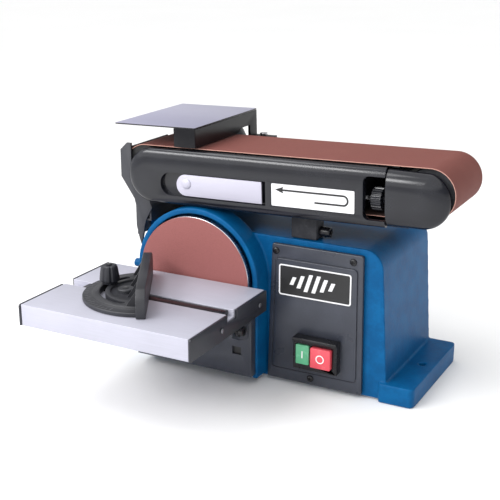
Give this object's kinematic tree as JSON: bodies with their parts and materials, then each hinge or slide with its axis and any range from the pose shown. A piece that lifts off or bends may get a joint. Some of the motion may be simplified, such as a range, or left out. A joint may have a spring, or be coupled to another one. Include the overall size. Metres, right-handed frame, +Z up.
{
  "type": "belt and disc sander",
  "caption": "Bench sander with a tilting belt arm, a sanding disc in a shroud, a tilting slotted table, a mitre gauge and a push-button switch plate",
  "frame": {"origin": "underside of the base plate, straight below the sanding disc's axis, midway between the base's front and back walls", "axes": "+X along the belt arm towards its idler end, +Y away from the operator, +Z up"},
  "size_m": [0.441, 0.3948, 0.3089],
  "materials": {
    "blue_paint": "hammered blue enamel",
    "charcoal_plastic": "satin charcoal moulding",
    "grey_plastic": "fine textured dark grey moulding",
    "black_paint": "black powder coat",
    "aluminium": "satin extruded aluminium",
    "steel": "bright steel",
    "silver_paint": "silver paint",
    "cast_iron": "rough grey casting",
    "abrasive": "red-brown aluminium oxide grit on cloth",
    "rubber": "black rubber",
    "white_label": "printed label",
    "green_button": "green cap",
    "red_button": "red cap",
    "copper": "laminated core with copper windings"
  },
  "bodies": {
    "base": {"base_housing": "blue_paint", "bottom_plate": "steel", "switch_plate": "grey_plastic", "plate_screw_1": "steel", "plate_screw_2": "steel", "plate_screw_3": "steel", "badge_plate": "white_label", "switch_box": "black_paint", "dust_hood": "grey_plastic", "arm_rest_block": "cast_iron", "pivot_pedestal": "cast_iron", "drum_bearing": "steel", "motor_can": "aluminium", "stator_core": "copper", "bearing_front": "steel", "bearing_rear": "steel", "motor_cradle": "black_paint", "rear_cover": "charcoal_plastic", "drive_belt": "rubber", "cable_gland": "rubber", "table_bracket": "grey_plastic"},
    "spindle": {"motor_shaft": "steel", "rotor": "steel", "disc_plate": "aluminium", "sanding_disc": "abrasive", "motor_pulley": "aluminium"},
    "drum": {"drum_shaft": "steel", "drive_drum": "aluminium", "drum_pulley": "aluminium"},
    "arm": {"arm_frame": "black_paint", "platen": "steel", "sanding_belt": "abrasive", "arm_cover": "charcoal_plastic", "arm_label": "white_label", "arm_end_cap": "charcoal_plastic", "stop_wall": "black_paint", "stop_plate": "silver_paint", "stop_screw": "steel"},
    "arm_lock": {"arm_rest_bolt": "black_paint"},
    "tensioner": {"tension_fork": "steel", "idler_axle": "steel"},
    "idler": {"idler_drum": "aluminium"},
    "lever": {"tension_lever": "silver_paint"},
    "tracking": {"tracking_knob": "grey_plastic"},
    "start_button": {"green_button": "green_button"},
    "stop_button": {"red_button": "red_button"},
    "table": {"table_top": "aluminium", "table_cap_left": "charcoal_plastic", "table_cap_right": "charcoal_plastic", "cap_screw_left_1": "steel", "cap_screw_left_2": "steel", "cap_screw_right_1": "steel", "cap_screw_right_2": "steel", "trunnion_left": "black_paint", "trunnion_right": "black_paint"},
    "tilt_bolt_left": {"tilt_lock_left": "steel"},
    "tilt_bolt_right": {"tilt_lock_right": "steel"},
    "gauge_slide": {"gauge_bar": "black_paint"},
    "gauge_protractor": {"gauge_head": "grey_plastic"},
    "gauge_clamp": {"gauge_knob": "charcoal_plastic"}
  },
  "joints": [
    {"name": "disc_spin", "type": "hinge", "parent": "base", "child": "spindle", "pos_m": [0, 0, 0.1285], "axis": [0, 1, 0], "continuous": true},
    {"name": "drum_spin", "type": "hinge", "parent": "base", "child": "drum", "pos_m": [-0.0792, 0, 0.2512], "axis": [0, 1, 0], "continuous": true},
    {"name": "idler_spin", "type": "hinge", "parent": "tensioner", "child": "idler", "pos_m": [0.28468, 0, 0.26073], "axis": [0, 1, 0], "continuous": true},
    {"name": "arm_tilt", "type": "hinge", "parent": "base", "child": "arm", "pos_m": [-0.0792, -0.043, 0.2512], "axis": [0, -1, 0], "range_deg": [0, 88]},
    {"name": "arm_lock_turn", "type": "hinge", "parent": "base", "child": "arm_lock", "pos_m": [0.152, -0.064, 0.1935], "axis": [1, 0, 0], "range_deg": [0, 180]},
    {"name": "lever_swing", "type": "hinge", "parent": "arm", "child": "lever", "pos_m": [0.08481, -0.10335, 0.24159], "axis": [-0.0262, 0, 0.9997], "range_deg": [0, 90]},
    {"name": "tension_slide", "type": "slide", "parent": "arm", "child": "tensioner", "axis": [0.9997, 0, 0.0262], "range_m": [-0.006, 0]},
    {"name": "tracking_turn", "type": "hinge", "parent": "arm", "child": "tracking", "pos_m": [0.2252, -0.085, 0.24767], "axis": [0.9997, 0, 0.0262], "range_deg": [-180, 180]},
    {"name": "green_press", "type": "slide", "parent": "base", "child": "start_button", "axis": [0, 1, 0], "range_m": [0, 0.003], "stiffness_N_per_m": 300},
    {"name": "red_press", "type": "slide", "parent": "base", "child": "stop_button", "axis": [0, 1, 0], "range_m": [0, 0.003], "stiffness_N_per_m": 300},
    {"name": "table_tilt", "type": "hinge", "parent": "base", "child": "table", "pos_m": [0, -0.124, 0.107], "axis": [1, 0, 0], "range_deg": [0, 45]},
    {"name": "tilt_bolt_left_turn", "type": "hinge", "parent": "base", "child": "tilt_bolt_left", "pos_m": [-0.083, -0.15, 0.08668], "axis": [1, 0, 0], "range_deg": [0, 180]},
    {"name": "tilt_bolt_right_turn", "type": "hinge", "parent": "base", "child": "tilt_bolt_right", "pos_m": [0.083, -0.15, 0.08668], "axis": [1, 0, 0], "range_deg": [-180, 0]},
    {"name": "gauge_travel", "type": "slide", "parent": "table", "child": "gauge_slide", "axis": [1, 0, 0], "range_m": [-0.09, 0.09]},
    {"name": "gauge_turn", "type": "hinge", "parent": "gauge_slide", "child": "gauge_protractor", "pos_m": [-0.015, -0.201, 0.1294], "axis": [0, 0, 1], "range_deg": [-90, 30]},
    {"name": "gauge_clamp_turn", "type": "hinge", "parent": "gauge_slide", "child": "gauge_clamp", "pos_m": [-0.062, -0.201, 0.14], "axis": [0, 0, 1], "range_deg": [-180, 180]}
  ],
  "couplings": [
    {"joint": "drum_spin", "follows": "disc_spin", "ratio": 0.53846},
    {"joint": "idler_spin", "follows": "disc_spin", "ratio": 0.53846},
    {"joint": "tension_slide", "follows": "lever_swing", "m_per_rad": -0.00381}
  ]
}
